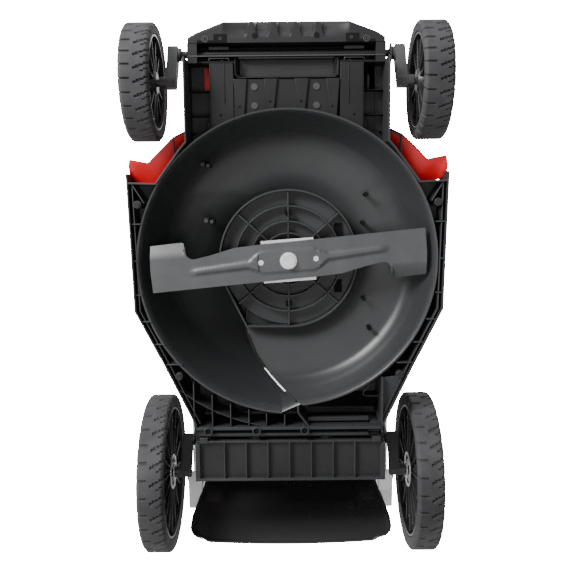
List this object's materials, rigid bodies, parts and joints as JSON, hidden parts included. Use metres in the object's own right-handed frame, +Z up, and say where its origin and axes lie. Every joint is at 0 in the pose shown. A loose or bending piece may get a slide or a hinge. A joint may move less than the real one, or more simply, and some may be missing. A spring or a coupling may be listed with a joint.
{
  "type": "push lawn mower",
  "caption": "Walk-behind cordless mower with a folding telescopic handle, linked height adjustment, a rear discharge door and flap, and a winged rotary blade.",
  "frame": {"origin": "on the ground under the middle of the standing mower's box, handle folded forward", "axes": "+Z up, +Y to the rear, +X to the side of the height lever"},
  "size_m": [0.53, 0.924, 0.4048],
  "materials": {
    "black_plastic": "moulded satin",
    "gloss_black": "gloss",
    "red_plastic": "gloss",
    "dark_steel": "powder coat",
    "blade_steel": "satin coat",
    "bright_steel": "zinc plated",
    "alloy_tube": "anodised",
    "cast_alloy": "cast",
    "magnet_steel": "machined",
    "copper_winding": "enamelled copper",
    "circuit_board": "board",
    "battery_grey": "satin",
    "soft_grip": "foam",
    "lever_plastic": "satin",
    "tyre_rubber": "matte",
    "wheel_plastic": "satin"
  },
  "bodies": {
    "root": {"deck_shell": "black_plastic", "cutting_chamber": "black_plastic", "hub_plate": "black_plastic", "front_bumper": "black_plastic", "axle_clamps": "black_plastic", "discharge_chute": "black_plastic", "hood_cover": "red_plastic", "motor_housing": "cast_alloy", "motor_stator": "copper_winding", "motor_bearings": "bright_steel", "controller_board": "circuit_board", "battery_bay": "black_plastic", "battery_pack": "battery_grey", "height_quadrant": "black_plastic", "flap_rod": "bright_steel", "door_rod": "bright_steel", "door_springs": "bright_steel", "handle_brackets": "black_plastic", "deck_screws": "bright_steel"},
    "blade_rotor": {"motor_shaft": "bright_steel", "motor_rotor": "magnet_steel", "blade_adapter": "cast_alloy", "blade_plate": "bright_steel", "blade": "blade_steel", "blade_bolt": "bright_steel", "drive_pins": "bright_steel"},
    "front_crank": {"front_crank": "dark_steel", "height_lever": "dark_steel", "lever_knob": "soft_grip"},
    "rear_crank": {"rear_crank": "dark_steel"},
    "link_rod": {"link_rod": "dark_steel"},
    "rear_flap": {"rear_flap": "black_plastic"},
    "rear_door": {"rear_door": "gloss_black"},
    "lower_handle": {"lower_tubes": "alloy_tube", "handle_brace": "alloy_tube", "tube_collars": "black_plastic"},
    "upper_handle": {"upper_handle": "alloy_tube", "hand_grips": "soft_grip", "switch_box": "gloss_black"},
    "bail_lever": {"bail_lever": "dark_steel"},
    "start_button": {"start_button": "red_plastic"},
    "battery_lid": {"battery_lid": "gloss_black"},
    "battery_latch": {"battery_latch": "red_plastic"},
    "safety_key": {"safety_key": "red_plastic"},
    "clamp_lever_right": {"clamp_lever_right": "lever_plastic"},
    "clamp_lever_left": {"clamp_lever_left": "lever_plastic"},
    "fold_lever_right": {"fold_lever_right": "lever_plastic"},
    "fold_lever_left": {"fold_lever_left": "lever_plastic"},
    "front_right_wheel": {"front_right_tyre": "tyre_rubber", "front_right_rim": "wheel_plastic", "front_right_hub_cap": "wheel_plastic"},
    "front_left_wheel": {"front_left_tyre": "tyre_rubber", "front_left_rim": "wheel_plastic", "front_left_hub_cap": "wheel_plastic"},
    "rear_right_wheel": {"rear_right_tyre": "tyre_rubber", "rear_right_rim": "wheel_plastic", "rear_right_hub_cap": "wheel_plastic"},
    "rear_left_wheel": {"rear_left_tyre": "tyre_rubber", "rear_left_rim": "wheel_plastic", "rear_left_hub_cap": "wheel_plastic"}
  },
  "joints": [
    {"name": "blade_spin", "type": "hinge", "parent": "root", "child": "blade_rotor", "pos_m": [0, -0.069, 0.074], "axis": [0, 0, 1], "continuous": true},
    {"name": "height_adjust", "type": "hinge", "parent": "root", "child": "front_crank", "pos_m": [0, -0.412, 0.125], "axis": [1, 0, 0], "range_deg": [0, 47]},
    {"name": "rear_crank_turn", "type": "hinge", "parent": "root", "child": "rear_crank", "pos_m": [0, 0.272, 0.17], "axis": [1, 0, 0], "range_deg": [-1, 48]},
    {"name": "link_turn", "type": "hinge", "parent": "front_crank", "child": "link_rod", "pos_m": [0.142, -0.377, 0.167], "axis": [1, 0, 0], "range_deg": [-48, 1]},
    {"name": "front_right_wheel_spin", "type": "hinge", "parent": "front_crank", "child": "front_right_wheel", "pos_m": [0.234, -0.362, 0.095], "axis": [1, 0, 0], "continuous": true},
    {"name": "front_left_wheel_spin", "type": "hinge", "parent": "front_crank", "child": "front_left_wheel", "pos_m": [-0.234, -0.362, 0.095], "axis": [1, 0, 0], "continuous": true},
    {"name": "rear_right_wheel_spin", "type": "hinge", "parent": "rear_crank", "child": "rear_right_wheel", "pos_m": [0.234, 0.322, 0.14], "axis": [1, 0, 0], "continuous": true},
    {"name": "rear_left_wheel_spin", "type": "hinge", "parent": "rear_crank", "child": "rear_left_wheel", "pos_m": [-0.234, 0.322, 0.14], "axis": [1, 0, 0], "continuous": true},
    {"name": "rear_flap_swing", "type": "hinge", "parent": "root", "child": "rear_flap", "pos_m": [0, 0.236, 0.086], "axis": [1, 0, 0], "range_deg": [0, 35]},
    {"name": "rear_door_open", "type": "hinge", "parent": "root", "child": "rear_door", "pos_m": [0, 0.373, 0.303], "axis": [1, 0, 0], "range_deg": [0, 75], "stiffness_Nm_per_rad": 0.8, "springref_deg": -22.92},
    {"name": "handle_fold", "type": "hinge", "parent": "root", "child": "lower_handle", "pos_m": [0, 0.415, 0.34], "axis": [-1, 0, 0], "range_deg": [0, 140]},
    {"name": "handle_telescope", "type": "slide", "parent": "lower_handle", "child": "upper_handle", "axis": [0, -1, 0], "range_m": [0, 0.36]},
    {"name": "bail_squeeze", "type": "hinge", "parent": "upper_handle", "child": "bail_lever", "pos_m": [0, -0.235, 0.34], "axis": [1, 0, 0], "range_deg": [0, 21], "stiffness_Nm_per_rad": 1.5, "springref_deg": -17.19},
    {"name": "start_button_press", "type": "slide", "parent": "upper_handle", "child": "start_button", "axis": [0, 0, 1], "range_m": [0, 0.004], "stiffness_N_per_m": 300, "springref_m": -0.003},
    {"name": "battery_lid_open", "type": "hinge", "parent": "root", "child": "battery_lid", "pos_m": [0, -0.146, 0.3], "axis": [-1, 0, 0], "range_deg": [0, 80]},
    {"name": "battery_latch_push", "type": "slide", "parent": "root", "child": "battery_latch", "axis": [0, 1, 0], "range_m": [0, 0.004], "stiffness_N_per_m": 300, "springref_m": -0.003},
    {"name": "safety_key_pull", "type": "slide", "parent": "root", "child": "safety_key", "axis": [0, 0, 1], "range_m": [0, 0.018]},
    {"name": "clamp_lever_right_open", "type": "hinge", "parent": "lower_handle", "child": "clamp_lever_right", "pos_m": [0.2133, -0.157, 0.34], "axis": [0, 0, -1], "range_deg": [0, 100]},
    {"name": "fold_lever_right_open", "type": "hinge", "parent": "root", "child": "fold_lever_right", "pos_m": [0.2133, 0.415, 0.34], "axis": [0, 0, 1], "range_deg": [0, 100]},
    {"name": "clamp_lever_left_open", "type": "hinge", "parent": "lower_handle", "child": "clamp_lever_left", "pos_m": [-0.2133, -0.157, 0.34], "axis": [0, 0, 1], "range_deg": [0, 100]},
    {"name": "fold_lever_left_open", "type": "hinge", "parent": "root", "child": "fold_lever_left", "pos_m": [-0.2133, 0.415, 0.34], "axis": [0, 0, -1], "range_deg": [0, 100]}
  ],
  "couplings": [
    {"joint": "rear_crank_turn", "follows": "height_adjust", "ratio": 1},
    {"joint": "link_turn", "follows": "height_adjust", "ratio": -1}
  ]
}
